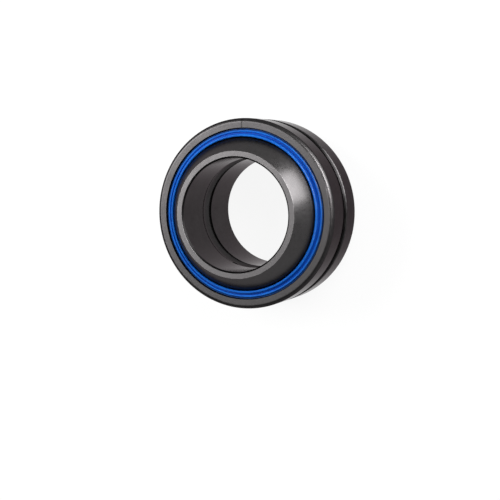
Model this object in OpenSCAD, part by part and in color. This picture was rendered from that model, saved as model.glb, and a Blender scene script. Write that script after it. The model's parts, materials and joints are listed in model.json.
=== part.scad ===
// Radial spherical plain bearing with a seal at each end.
// The inner ring's bore axis is +Z and the ball's centre is the origin.

/* [Inner ring] */
// Diameter of the shaft bore
bore_d = 40; // [30:0.5:48]
// Width of the inner ring from end face to end face
inner_w = 40; // [34:0.5:48]
// Width of the flat on each end face, outside the bore's chamfer
end_flat_w = 1.76; // [1:0.01:3]
// Chamfer at each end of the bore
bore_chamfer = 0.6; // [0.3:0.1:1.2]

/* [Outer ring] */
// Width of the outer ring from face to face
outer_w = 25; // [20:0.5:28]
// Wall from the hollow ball seat to the outside, at mid width
outer_wall = 3.95; // [3.2:0.05:6]
// Radius of the round on the outside edges
outer_edge_r = 1.5; // [0.5:0.1:1.8]
// Radial clearance between the ball and its seat
ball_clearance = 0.05; // [0.03:0.01:0.08]

/* [Fracture] */
// Width of the crack that lets the outer ring open over the ball
fracture_gap = 0.12; // [0.08:0.02:0.3]
// How far the crack wanders from a straight line
fracture_wander = 0.25; // [0:0.05:0.6]

/* [Lubrication] */
// Diameter of the holes through both rings
oil_hole_d = 2.6; // [2:0.1:4]
// Width of the groove round the outside
outer_groove_w = 5; // [4:0.1:6]
// Depth of the groove round the outside
outer_groove_depth = 0.7; // [0.5:0.1:1.2]
// Width of the groove round the ball seat
seat_groove_w = 4; // [3:0.1:5]
// Depth of the groove round the ball seat
seat_groove_depth = 0.6; // [0.3:0.1:0.9]
// Width of the groove round the bore
bore_groove_w = 7.5; // [4:0.1:9]
// Depth of the groove round the bore
bore_groove_depth = 1; // [0.5:0.1:1.4]
// Angle of the inner ring's holes round the axis, in degrees
inner_hole_angle = 65; // [0:5:175]

/* [Seals] */
// Radial width of a seal, from the mouth of the ball seat to the wall of the seal's seat
seal_w = 3.05; // [2.6:0.05:3.6]
// Depth of the seal's seat below the outer ring's face
seal_seat_depth = 2.3; // [2:0.1:2.8]
// Chamfer at the mouth of the seal's seat
seat_chamfer = 0.2; // [0.1:0.05:0.3]
// How far the seal's ridge stays below the outer ring's face
ridge_recess = 0.3; // [0.1:0.05:0.6]
// Radius of the ridge's rounded top
ridge_r = 0.52; // [0.4:0.02:0.58]
// Open groove between the ridge and the seat's wall
seal_rim_gap = 0.4; // [0.2:0.05:0.5]
// How far the upper lip's crest stands above the outer ring's face
lip_rise = 0.75; // [0.5:0.05:1.2]
// Radius of the upper lip's rounded crest
lip_crest_r = 0.4; // [0.3:0.02:0.46]
// Lean of the upper lip towards the ball, in degrees
lip_lean = 15; // [0:1:25]
// Distance from the ridge to the upper lip's crest
lip_pitch = 1.6; // [1.3:0.05:1.7]
// How far the foot inside the upper lip stays below the ridge's top
foot_drop = 0.15; // [0.05:0.05:0.3]
// Radius of the bead that holds the seal in its seat
bead_r = 0.4; // [0.25:0.05:0.5]
// Clearance of the seal in its seat
seal_fit = 0.04; // [0.02:0.01:0.08]
// Clearance between the seal and the ball
lip_clearance = 0.1; // [0.06:0.01:0.15]
// Radius of the hollow between the seal's two edges on the ball
lip_relief_r = 0.32; // [0.2:0.02:0.4]

/* [Hidden] */
$fn = 96;

steel_colour = "#3c3a3b";
seal_colour = "#1b62c8";

// Cutting tools reach this far past the faces they cut
overcut = 1;

bore_r = bore_d / 2;
end_flat_r = bore_r + bore_chamfer + end_flat_w;
ball_r = norm([end_flat_r, inner_w / 2]);
seat_r = ball_r + ball_clearance;
outer_r = seat_r + outer_wall;
face_z = outer_w / 2;

// The seal's seat is a counterbore in the outer ring's face
mouth_r = sqrt(seat_r^2 - face_z^2);
seal_seat_r = mouth_r + seal_w;
seal_floor_z = face_z - seal_seat_depth;
ridge_top_z = face_z - ridge_recess;

// Places in the seal's section
ridge_x = seal_seat_r - seal_rim_gap - ridge_r;
ridge_z = ridge_top_z - ridge_r;
bead_z = (seal_floor_z + ridge_z) / 2;
lip_x = ridge_x - lip_pitch;
lip_z = face_z + lip_rise - lip_crest_r;
foot_z = ridge_top_z - foot_drop;
lip_r = ball_r + lip_clearance;
lip_relief_z = (ridge_top_z + seal_floor_z) / 2;

// The crack's line down the outside, as shares of the half width and of the wander
fracture_line = [[-1, 0.2], [-0.55, -0.6], [-0.1, 0.5], [0.3, -0.3], [0.65, 0.7], [1, 0]];

// Radius of a round groove from its width and depth
function groove_r(w, depth) = (w^2 / 4 + depth^2) / (2 * depth);

// Round groove in a section, cut outward into a bore or a seat of radius r
module inside_groove(r, w, depth) {
    cut_r = groove_r(w, depth);
    translate([r + depth - cut_r, 0])
        circle(cut_r);
}

// Flat groove with 45 degree sides in a section, cut inward into an outside of radius r
module outside_groove(r, w, depth) {
    floor_z = w / 2 - depth;
    mouth_z = w / 2 + overcut;
    polygon([[r - depth, -floor_z], [r + overcut, -mouth_z], [r + overcut, mouth_z], [r - depth, floor_z]]);
}

// Two opposite oil holes through a wall, from radius r_in to radius r_out
module oil_holes(angle, r_in, r_out) {
    for (side = [0, 180])
        rotate([0, 90, angle + side])
            translate([0, 0, r_in])
                cylinder(d = oil_hole_d, h = r_out - r_in);
}

// Chamfer at both ends of the bore, in the section
module bore_chamfers() {
    for (side = [-1, 1])
        translate([bore_r, side * inner_w / 2])
            rotate(45)
                square(bore_chamfer * sqrt(2), center = true);
}

// Half section of the inner ring: a ball with flat ends and a bore
module inner_section() {
    difference() {
        intersection() {
            circle(ball_r);
            translate([bore_r, -inner_w / 2])
                square([ball_r, inner_w]);
        }
        inside_groove(bore_r, bore_groove_w, bore_groove_depth);
        bore_chamfers();
    }
}

module inner_ring() {
    color(steel_colour)
        difference() {
            rotate_extrude()
                inner_section();
            oil_holes(inner_hole_angle, bore_r - overcut, ball_r + overcut);
        }
}

// Block of the outer ring's section with its outside edges rounded
module outer_block() {
    round_x = outer_r - outer_edge_r;
    round_z = face_z - outer_edge_r;
    translate([0, -face_z])
        square([round_x, outer_w]);
    translate([0, -round_z])
        square([outer_r, 2 * round_z]);
    for (side = [-1, 1])
        translate([round_x, side * round_z])
            circle(outer_edge_r);
}

// Chamfered counterbore for a seal with the undercut that takes its bead, at the upper face
module seal_seat_section() {
    translate([0, seal_floor_z])
        square([seal_seat_r, seal_seat_depth + overcut]);
    translate([seal_seat_r, bead_z])
        circle(bead_r + seal_fit);
    translate([seal_seat_r, face_z])
        rotate(45)
            square(seat_chamfer * sqrt(2), center = true);
}

// Half section of the outer ring: a hollow ball seat with a seal's seat at each end
module outer_section() {
    difference() {
        outer_block();
        circle(seat_r);
        seal_seat_section();
        mirror([0, 1])
            seal_seat_section();
        outside_groove(outer_r, outer_groove_w, outer_groove_depth);
        inside_groove(seat_r, seat_groove_w, seat_groove_depth);
    }
}

// Thin crooked crack across the outer ring's wall on the +Y side
module fracture() {
    line = [for (p = fracture_line) [p[0] * (face_z + overcut), p[1] * fracture_wander]];
    left = [for (p = line) [p[1] - fracture_gap / 2, p[0]]];
    right = [for (i = [len(line) - 1:-1:0]) [line[i][1] + fracture_gap / 2, line[i][0]]];
    translate([0, outer_r + overcut, 0])
        rotate([90, 0, 0])
            linear_extrude(outer_r + overcut)
                polygon(concat(left, right));
}

module outer_ring() {
    color(steel_colour)
        difference() {
            rotate_extrude()
                outer_section();
            oil_holes(90, 0, outer_r + overcut);
            fracture();
        }
}

// Upper lip in the seal's section: a round crest on a web that leans out to the seal's base
module upper_lip() {
    web_h = (lip_z - bead_z) / cos(lip_lean);
    translate([lip_x, lip_z]) {
        circle(lip_crest_r);
        rotate(180 + lip_lean)
            translate([-lip_crest_r, 0])
                square([2 * lip_crest_r, web_h]);
    }
}

// Half section of a seal: a base with a round ridge, a raised lip, two edges on the ball and a holding bead
module seal_section() {
    base_w = seal_seat_r - seal_fit;
    difference() {
        union() {
            translate([0, seal_floor_z])
                square([base_w, ridge_z - seal_floor_z]);
            translate([0, seal_floor_z])
                square([lip_x, foot_z - seal_floor_z]);
            translate([ridge_x, ridge_z])
                circle(ridge_r);
            upper_lip();
            translate([base_w, bead_z])
                circle(bead_r);
        }
        circle(lip_r);
        translate([sqrt(lip_r^2 - lip_relief_z^2), lip_relief_z])
            circle(lip_relief_r);
    }
}

module seal() {
    color(seal_colour)
        rotate_extrude()
            seal_section();
}

module upper_seal() {
    seal();
}

module lower_seal() {
    mirror([0, 0, 1])
        seal();
}

inner_ring();
outer_ring();
upper_seal();
lower_seal();
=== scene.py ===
"""Dresses the spherical plain bearing: black phosphated steel rings, blue seals, and the studio round them."""
import json
import math

import bpy
from mathutils import Matrix, Vector


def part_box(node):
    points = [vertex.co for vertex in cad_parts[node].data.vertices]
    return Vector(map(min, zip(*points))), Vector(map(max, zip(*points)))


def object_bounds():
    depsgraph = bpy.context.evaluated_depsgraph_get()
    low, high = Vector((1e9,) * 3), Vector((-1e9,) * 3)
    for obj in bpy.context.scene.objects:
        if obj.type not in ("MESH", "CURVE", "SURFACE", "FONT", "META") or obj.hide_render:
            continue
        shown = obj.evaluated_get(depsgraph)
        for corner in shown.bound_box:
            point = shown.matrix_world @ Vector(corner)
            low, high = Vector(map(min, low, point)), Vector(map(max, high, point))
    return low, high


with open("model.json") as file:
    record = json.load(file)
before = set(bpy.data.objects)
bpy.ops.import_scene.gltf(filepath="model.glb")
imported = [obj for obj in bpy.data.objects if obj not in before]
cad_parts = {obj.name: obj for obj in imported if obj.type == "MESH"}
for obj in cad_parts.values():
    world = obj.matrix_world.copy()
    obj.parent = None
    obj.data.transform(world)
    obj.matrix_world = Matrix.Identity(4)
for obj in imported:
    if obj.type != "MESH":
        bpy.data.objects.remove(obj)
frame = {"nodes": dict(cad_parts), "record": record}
cad_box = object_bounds()
nodes = frame["nodes"]
mounts = {mount["name"]: mount["dims"] for mount in frame["record"]["mounts"]}

# Sizes of the bearing in millimetres, read from the frame
MM = 1000
BORE_R = mounts["shaft_bore"]["r_mm"]
BORE_STRAIGHT_HALF = mounts["shaft_bore"]["length_mm"] / 2
OUTER_R = mounts["housing_seat"]["r_mm"]
OUTER_STRAIGHT_HALF = mounts["housing_seat"]["length_mm"] / 2
BALL_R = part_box("inner_ring")[1].x * MM
INNER_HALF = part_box("inner_ring")[1].z * MM
OUTER_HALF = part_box("outer_ring")[1].z * MM

# Places in the rings' sections, in millimetres and degrees
END_FLAT_R = math.sqrt(BALL_R**2 - INNER_HALF**2)
OUTER_FACE_R = OUTER_R - (OUTER_HALF - OUTER_STRAIGHT_HALF)
SEAL_SEAT_R = 30.38
SEAT_CHAMFER = 0.2
OIL_HOLE_R = 1.3
OUTER_HOLE_ANGLE = 90
INNER_HOLE_ANGLE = 65
OUTER_GROOVE_HALF = 2.5
OUTER_GROOVE_DEPTH = 0.7
BORE_GROOVE_HALF = 3.75
BORE_GROOVE_DEPTH = 1.0

# Places in the seals' section, in millimetres
RIDGE_R = 29.46
RIDGE_TOP = OUTER_HALF - 0.3
LIP_CREST_R = 27.86
VALLEY_R = 28.7
VALLEY_HALF = 0.3
FOOT_TOP = RIDGE_TOP - 0.15


class Socket:
    """A shader socket in Python expressions: each operation adds one Math node."""

    def __init__(self, tree, link):
        self.tree = tree
        self.link = link

    def output(self, name):
        """Another output of the node that this socket belongs to."""
        return Socket(self.tree, self.link.node.outputs[name])

    def math(self, operation, *terms):
        """A Math node over the given terms, which are sockets or numbers."""
        node = self.tree.nodes.new("ShaderNodeMath")
        node.operation = operation
        for slot, term in zip(node.inputs, terms):
            feed(self.tree, slot, term)
        return Socket(self.tree, node.outputs[0])

    def __add__(self, other):
        return self.math("ADD", self, other)

    def __sub__(self, other):
        return self.math("SUBTRACT", self, other)

    def __rsub__(self, other):
        return self.math("SUBTRACT", other, self)

    def __mul__(self, other):
        return self.math("MULTIPLY", self, other)

    def __truediv__(self, other):
        return self.math("DIVIDE", self, other)

    def __pow__(self, other):
        return self.math("POWER", self, other)

    def __abs__(self):
        return self.math("ABSOLUTE", self)

    __radd__ = __add__
    __rmul__ = __mul__


def feed(tree, slot, value):
    """Links a socket into a slot, or sets the slot's own number, colour or vector."""
    if isinstance(value, Socket):
        tree.links.new(value.link, slot)
    else:
        slot.default_value = value


class Finish:
    """The node tree of a material or of the world, and the ways to add to it."""

    def __init__(self, owner):
        owner.use_nodes = True
        self.owner = owner
        self.tree = owner.node_tree
        self.tree.nodes.clear()

    def add(self, kind, settings=None, sockets=None, output=0):
        """Any node: its settings first, then its sockets' values or links, by name or number."""
        node = self.tree.nodes.new(kind)
        for name, value in (settings or {}).items():
            setattr(node, name, value)
        for name, value in (sockets or {}).items():
            feed(self.tree, node.inputs[name], value)
        return Socket(self.tree, node.outputs[output]) if node.outputs else None

    def step(self, value, start, end):
        """A smooth step from 0 at start to 1 at end, either way round."""
        return self.add(
            "ShaderNodeMapRange",
            {"interpolation_type": "SMOOTHSTEP"},
            {"Value": value, "From Min": start, "From Max": end},
        )

    def band(self, value, centre, half, soft):
        """1 where value lies within half of centre, with soft sides."""
        return self.step(abs(value - centre), half + soft, half)

    def noise(self, place, size, detail=2.0):
        """Cloudy noise spread over 0 to 1, with features of the given size in the place's own unit."""
        fog = self.add(
            "ShaderNodeTexNoise",
            {"noise_dimensions": "3D"},
            {"Vector": place, "Scale": 1 / size, "Detail": detail},
        )
        return self.step(fog, 0.25, 0.75)

    def lines(self, along, pitch):
        """Noise that changes along one coordinate only, as a turning tool leaves it."""
        return self.add(
            "ShaderNodeTexNoise",
            {"noise_dimensions": "1D"},
            {"W": along / pitch, "Scale": 1.0, "Detail": 2.0},
        )

    def tint(self, factor, low, high):
        """A colour between two others."""
        settings = {"data_type": "RGBA"}
        return self.add("ShaderNodeMix", settings, {0: factor, 6: low, 7: high}, output=2)

    def surface(self, height, sockets):
        """Ends the tree in a Principled surface with a bump of the given height."""
        bump = self.add(
            "ShaderNodeBump",
            {},
            {"Height": height, "Distance": SURFACE_RELIEF, "Strength": 1.0},
        )
        shader = self.add("ShaderNodeBsdfPrincipled", {}, {"Normal": bump, **sockets})
        self.add("ShaderNodeOutputMaterial", {}, {"Surface": shader})
        return self.owner


class Turned:
    """Coordinates on a turned piece in millimetres, and masks of its end faces and rubbed edges."""

    def __init__(self, finish):
        where = finish.add("ShaderNodeTexCoord", output="Object")
        sockets = {"Vector": where, "Scale": MM}
        self.finish = finish
        self.place = finish.add("ShaderNodeVectorMath", {"operation": "SCALE"}, sockets)
        self.x = finish.add("ShaderNodeSeparateXYZ", {}, {"Vector": self.place}, output="X")
        self.y = self.x.output("Y")
        self.z = self.x.output("Z")
        self.radius = (self.x * self.x + self.y * self.y) ** 0.5
        self.off_middle = abs(self.z)

    def end_face(self, half):
        """1 on the flat end faces, which lie half the piece's width from its middle."""
        return self.finish.step(self.off_middle, half - FACE_START, half - FACE_FULL)

    def face_rim(self, radius, half, reach):
        """1 along an end face's edge of this radius, and for a short reach down from it."""
        ring = self.finish.band(self.radius, radius, RIM_HALF, RIM_SOFT)
        return ring * self.finish.step(self.off_middle, half - reach, half - FACE_FULL)

    def hole_rim(self, angle):
        """1 round the mouths of the oil holes that stand at this angle."""
        across = self.x * math.sin(math.radians(angle)) - self.y * math.cos(math.radians(angle))
        from_axis = (across * across + self.z * self.z) ** 0.5
        return self.finish.band(from_axis, HOLE_RIM_R, HOLE_RIM_HALF, HOLE_RIM_SOFT)


def grey(level, warmth=0.03):
    """A near-grey colour with a little more red and less green."""
    return (level * (1 + warmth), level * (1 - warmth / 2), level, 1.0)


# Greys of the steel, and how much of its gloss is left at a grazing view
COAT_DARK = grey(0.024)
COAT_LIGHT = grey(0.046)
COAT_BRIGHT = grey(0.08)
BARE_STEEL = grey(0.22)
# Black that oil and painted shade darken the steel towards
OIL_AND_SHADE_BLACK = grey(0.003)
OUTER_FACE_GREY = 0.072
INNER_FACE_GREY = 0.117
OUTER_SHEEN = 0.46
INNER_SHEEN = 0.57

# Marks in the steel: sizes in millimetres, and the relief of all surfaces in metres
GRAIN_SIZE = 0.32
MOTTLE_SIZE = 1.2
CLOUD_SIZE = 9.0
FACE_LINE_PITCH = 0.2
SIDE_LINE_PITCH = 0.4
OIL_PATCH_SIZE = 3.0
SURFACE_RELIEF = 0.000008

# Soft borders between finishes, in millimetres
FACE_START = 0.05
FACE_FULL = 0.02
RIM_HALF = 0.04
RIM_SOFT = 0.1
HOLE_RIM_R = OIL_HOLE_R + 0.08
HOLE_RIM_HALF = 0.06
HOLE_RIM_SOFT = 0.12
GROOVE_FOOT_START = 0.25
GROOVE_FOOT_FULL = 0.4
CRACK_HALF = 0.2
CRACK_SOFT = 0.3


def phosphated(finish, turned, face, face_grey, sheen, bright, satin, worn, oil_and_painted_shade):
    """Black phosphate coat on turned steel. The masks say where the ground end faces, the brighter
    and the satin coat, the rubbed edges, and the oil and painted shade in hollows, gaps and along edges are."""
    relief = 0.15 + finish.step(satin, 1.0, 0.0) * 0.85
    grain = 0.5 + (finish.noise(turned.place, GRAIN_SIZE, detail=3.0) - 0.5) * relief
    mottle = finish.noise(turned.place, MOTTLE_SIZE)
    cloud = finish.noise(turned.place, CLOUD_SIZE, detail=3.0)
    face_lines = finish.lines(turned.radius, FACE_LINE_PITCH)
    side_lines = finish.lines(turned.z, SIDE_LINE_PITCH)
    lines = face_lines * face + side_lines * (1 - face)
    rubbed = worn * finish.step(mottle * 0.5 + cloud * 0.5, 0.35, 0.75)

    coat = finish.tint(mottle * 0.3 + cloud * 0.3 + grain * 0.4, COAT_DARK, COAT_LIGHT)
    coat = finish.tint(bright, coat, COAT_BRIGHT)
    ground = finish.tint(face_lines, grey(face_grey * 0.75), grey(face_grey * 1.25))
    ground = finish.tint(cloud * 0.3, ground, grey(face_grey * 0.6))
    colour = finish.tint(face, coat, ground)
    colour = finish.tint(rubbed, colour, BARE_STEEL)
    # Oil darkens the colour, and so does painted shade in hollows, gaps and along edges
    colour = finish.tint(oil_and_painted_shade, colour, OIL_AND_SHADE_BLACK)

    roughness = 0.1 + cloud * 0.04 + mottle * 0.04 + grain * 0.03 + face * 0.27 + satin * 0.14
    height = (lines * 0.5 + grain * 0.3 + mottle * 0.6) * relief
    return finish.surface(
        height,
        {
            "Base Color": colour,
            "Metallic": 1.0,
            "Roughness": roughness,
            "Specular Tint": grey(sheen),
        },
    )


def outer_ring_steel():
    """The outer ring: ground faces, black outside, oil in the groove, and painted shade at the seal seat's
    mouth, on the groove's sides and along the rounded edges.
    """
    finish = Finish(bpy.data.materials.new("outer_ring_steel"))
    turned = Turned(finish)
    face = turned.end_face(OUTER_HALF)
    edge = finish.step(turned.off_middle, OUTER_STRAIGHT_HALF, OUTER_STRAIGHT_HALF + 0.3) * (1 - face)
    seat_top_r = SEAL_SEAT_R + SEAT_CHAMFER
    # Painted shade: the seal seat's mouth is darkened, standing in for the shadow in the gap between seal and
    # ring
    seat_shade = finish.step(turned.radius, seat_top_r + 0.1, seat_top_r)
    crack = finish.band(turned.x, 0.0, CRACK_HALF, CRACK_SOFT) * finish.step(turned.y, 0.0, 1.0)

    depth = OUTER_R - turned.radius
    groove = finish.step(turned.off_middle, OUTER_GROOVE_HALF, OUTER_GROOVE_HALF - 0.05)
    groove_floor = finish.step(depth, OUTER_GROOVE_DEPTH - 0.04, OUTER_GROOVE_DEPTH)
    groove_side = groove * (1 - groove_floor)
    # Painted shade: the groove's sides, and most of all their foot, are darkened, which thins the highlight
    # along the groove
    groove_foot = groove_side * finish.step(depth, GROOVE_FOOT_START, GROOVE_FOOT_FULL)
    patches = 0.05 + finish.noise(turned.place, OIL_PATCH_SIZE) * 0.15
    # Oil patches in the groove are the ring's own; the darkening of its sides and foot is painted shade
    oil_and_groove_shade = groove * patches + groove_side * 0.15 + groove_foot * 0.6

    face_rim = turned.face_rim(OUTER_FACE_R, OUTER_HALF, reach=0.1)
    worn = face_rim * 0.12 + turned.hole_rim(OUTER_HOLE_ANGLE) * 0.5
    # The darkening at the seat, in the groove's sides and along the rounded edges is painted shade; the dark
    # split line is the ring's own
    oil_and_painted_shade = seat_shade * 0.85 + crack * 0.2 + oil_and_groove_shade + edge * 0.4
    satin = edge * 1.5 + groove_side
    bright = edge * 0.1
    return phosphated(
        finish, turned, face, OUTER_FACE_GREY, OUTER_SHEEN, bright, satin, worn, oil_and_painted_shade
    )


def inner_ring_steel():
    """The inner ring: ground end faces, a satin ball and a black bore with dull chamfers, with painted shade
    on the chamfers and in the bore's groove.
    """
    finish = Finish(bpy.data.materials.new("inner_ring_steel"))
    turned = Turned(finish)
    face = turned.end_face(INNER_HALF)
    ball = finish.step(turned.radius, END_FLAT_R - 0.1, END_FLAT_R + 0.05) * (1 - face)
    bore_end = finish.step(turned.off_middle, BORE_STRAIGHT_HALF - 0.08, BORE_STRAIGHT_HALF)
    chamfer = bore_end * (1 - face) * (1 - ball)
    groove = finish.step(turned.radius, BORE_R + 0.05, BORE_R + BORE_GROOVE_DEPTH) * finish.step(
        turned.off_middle, BORE_GROOVE_HALF + 0.3, BORE_GROOVE_HALF
    )

    face_rim = turned.face_rim(END_FLAT_R, INNER_HALF, reach=0.15)
    worn = face_rim * 0.4 + turned.hole_rim(INNER_HOLE_ANGLE) * 0.5
    # Painted shade: the bore's chamfers and groove are darkened towards black
    oil_and_painted_shade = chamfer * 0.93 + groove * (1 - ball) * 0.05
    satin = ball + chamfer * 2
    bright = ball * 0.24
    return phosphated(
        finish, turned, face, INNER_FACE_GREY, INNER_SHEEN, bright, satin, worn, oil_and_painted_shade
    )


# Blues of the seals, the grease and painted shade on them, and the sizes of their marks in millimetres
BLUE_DEEP = (0.001, 0.064, 0.33, 1.0)
BLUE_LIGHT = (0.002, 0.105, 0.45, 1.0)
# Painted shade darkens the valley between lip and ridge towards this blue
SHADED_VALLEY_BLUE = (0.0, 0.032, 0.28, 1.0)
GREASE_AND_SHADE_BLACK = (0.001, 0.004, 0.02, 1.0)
SEAL_CLOUD_SIZE = 6.0
SEAL_MOTTLE_SIZE = 0.9
SEAL_GRAIN_SIZE = 0.3
MOULD_LINE_PITCH = 0.3


def blue_polyurethane():
    """The seals: moulded blue polyurethane, darkened inside the lip and along the seat's wall by grease and
    painted shade, with painted shade in the valley.
    """
    finish = Finish(bpy.data.materials.new("seal_blue_polyurethane"))
    turned = Turned(finish)
    cloud = finish.noise(turned.place, SEAL_CLOUD_SIZE, detail=3.0)
    mottle = finish.noise(turned.place, SEAL_MOTTLE_SIZE)
    grain = finish.noise(turned.place, SEAL_GRAIN_SIZE)
    mould_lines = finish.lines(turned.radius, MOULD_LINE_PITCH)
    # Grease and painted shade: the foot inside the lip, by the ball, and the rim by the seat's wall are
    # darkened
    inside_lip = finish.step(turned.radius, LIP_CREST_R + 0.05, LIP_CREST_R - 0.15)
    foot = inside_lip * finish.step(turned.off_middle, FOOT_TOP + 0.12, FOOT_TOP - 0.02)
    rim = finish.step(turned.radius, RIDGE_R + 0.06, RIDGE_R + 0.36)
    valley_shade = finish.band(turned.radius, VALLEY_R, VALLEY_HALF, 0.15)
    grease_and_shade = (foot + rim) * (0.7 + mottle * 0.3)

    colour = finish.tint(cloud * 0.7 + mottle * 0.3, BLUE_DEEP, BLUE_LIGHT)
    # Painted shade: the valley between lip and ridge is darkened
    colour = finish.tint(valley_shade * 0.7, colour, SHADED_VALLEY_BLUE)
    colour = finish.tint(grease_and_shade * 0.85, colour, GREASE_AND_SHADE_BLACK)
    return finish.surface(
        mould_lines * 0.3 + grain * 0.3 + mottle * 0.4,
        {
            "Base Color": colour,
            "Roughness": 0.38 + cloud * 0.08 + mottle * 0.06,
            "Specular IOR Level": 0.12,
        },
    )


def dress(node, material):
    """Gives a node of the frame its finish."""
    slots = nodes[node].data.materials
    slots.clear()
    slots.append(material)


# Studio: a white floor, in metres, that keeps the shadow, pale walls, two soft lamps and two cards
FLOOR_SIZE = 12.0
FLOOR_WHITE = (0.92, 0.92, 0.92, 1.0)
PURE_WHITE = (1.0, 1.0, 1.0, 1.0)
SHADOW_SHARE = 0.1
CEILING_LIGHT = 0.4
CEILING_FROM = 0.45
WALLS_UP_TO = 0.15


def lay_floor():
    """The white paper that the bearing stands on, mostly even where it is seen, with the shadow kept."""
    finish = Finish(bpy.data.materials.new("studio_floor"))
    path = finish.add("ShaderNodeLightPath", output="Is Camera Ray")
    seen = path + path.output("Is Glossy Ray") + path.output("Is Transmission Ray")
    share = seen.math("MINIMUM", seen, 1.0) * (1 - SHADOW_SHARE)
    paper = finish.add("ShaderNodeBsdfDiffuse", {}, {"Color": FLOOR_WHITE})
    glow = finish.add("ShaderNodeEmission", {}, {"Color": PURE_WHITE, "Strength": 1.0})
    shader = finish.add("ShaderNodeMixShader", {}, {0: share, 1: paper, 2: glow})
    finish.add("ShaderNodeOutputMaterial", {}, {"Surface": shader})

    half = FLOOR_SIZE / 2
    level = cad_box[0].z
    corners = [(x * half, y * half, level) for x, y in ((-1, -1), (1, -1), (1, 1), (-1, 1))]
    mesh = bpy.data.meshes.new("floor")
    mesh.from_pydata(corners, [], [(0, 1, 2, 3)])
    mesh.materials.append(finish.owner)
    floor = bpy.data.objects.new("floor", mesh)
    bpy.context.scene.collection.objects.link(floor)


def light_room():
    """White walls low down and a dimmer ceiling."""
    finish = Finish(bpy.data.worlds.new("room"))
    where = finish.add("ShaderNodeTexCoord", output="Generated")
    height = finish.add("ShaderNodeSeparateXYZ", {}, {"Vector": where}, output="Z")
    walls = finish.step(height, CEILING_FROM, WALLS_UP_TO)
    strength = CEILING_LIGHT + walls * (1 - CEILING_LIGHT)
    room = finish.add("ShaderNodeBackground", {}, {"Color": PURE_WHITE, "Strength": strength})
    finish.add("ShaderNodeOutputWorld", {}, {"Surface": room})
    bpy.context.scene.world = finish.owner


def soft_lamp(name, place, aim, width, height, power, gloss_only=False):
    """A rectangular soft box that shines from place towards aim. A card shows only as gloss."""
    lamp = bpy.data.lights.new(name, "AREA")
    lamp.shape = "RECTANGLE"
    lamp.size = width
    lamp.size_y = height
    lamp.energy = power
    box = bpy.data.objects.new(name, lamp)
    box.location = place
    box.rotation_euler = (Vector(aim) - Vector(place)).to_track_quat("-Z", "Y").to_euler()
    box.visible_camera = False
    box.visible_diffuse = not gloss_only
    bpy.context.scene.collection.objects.link(box)


def place_camera():
    """The photograph's camera: above the upper end, a little to the right of the bore's axis."""
    place = Vector((0.1605, 0.0199, 0.3811))
    aim = Vector((-0.0019, -0.0137, 0.0020))
    up = Vector((-0.0191, 0.9966, -0.0801))
    back = (place - aim).normalized()
    right = up.cross(back).normalized()
    lens = bpy.data.cameras.new("camera")
    lens.sensor_width = 36.0
    lens.lens = 81.5
    lens.clip_start = 0.01
    camera = bpy.data.objects.new("camera", lens)
    turn = Matrix((right, back.cross(right), back)).transposed().to_4x4()
    camera.matrix_world = Matrix.Translation(place) @ turn
    bpy.context.scene.collection.objects.link(camera)
    bpy.context.scene.camera = camera


dress("outer_ring", outer_ring_steel())
dress("inner_ring", inner_ring_steel())
seal_finish = blue_polyurethane()
dress("upper_seal", seal_finish)
dress("lower_seal", seal_finish)

# Points that the lamps and cards aim at, in metres
MIDDLE = (0.0, 0.0, 0.0)
UPPER_SEAL = (0.0, 0.0, 0.01)
BALL_SIDE = (0.02, 0.012, 0.03)
OUTER_EDGE = (0.031, 0.012, 0.012)

lay_floor()
light_room()
soft_lamp("face_box", (-0.37, 0.17, 0.44), MIDDLE, 0.36, 0.36, 3.8)
soft_lamp("seal_box", (0.28, 0.24, 0.36), UPPER_SEAL, 0.3, 0.3, 2.2)
soft_lamp("ball_card", (0.172, 0.105, 0.072), BALL_SIDE, 0.14, 0.18, 0.93, gloss_only=True)
soft_lamp("edge_card", (0.178, 0.095, 0.154), OUTER_EDGE, 0.1, 0.045, 1.15, gloss_only=True)
place_camera()
bpy.context.scene.view_settings.view_transform = "Standard"
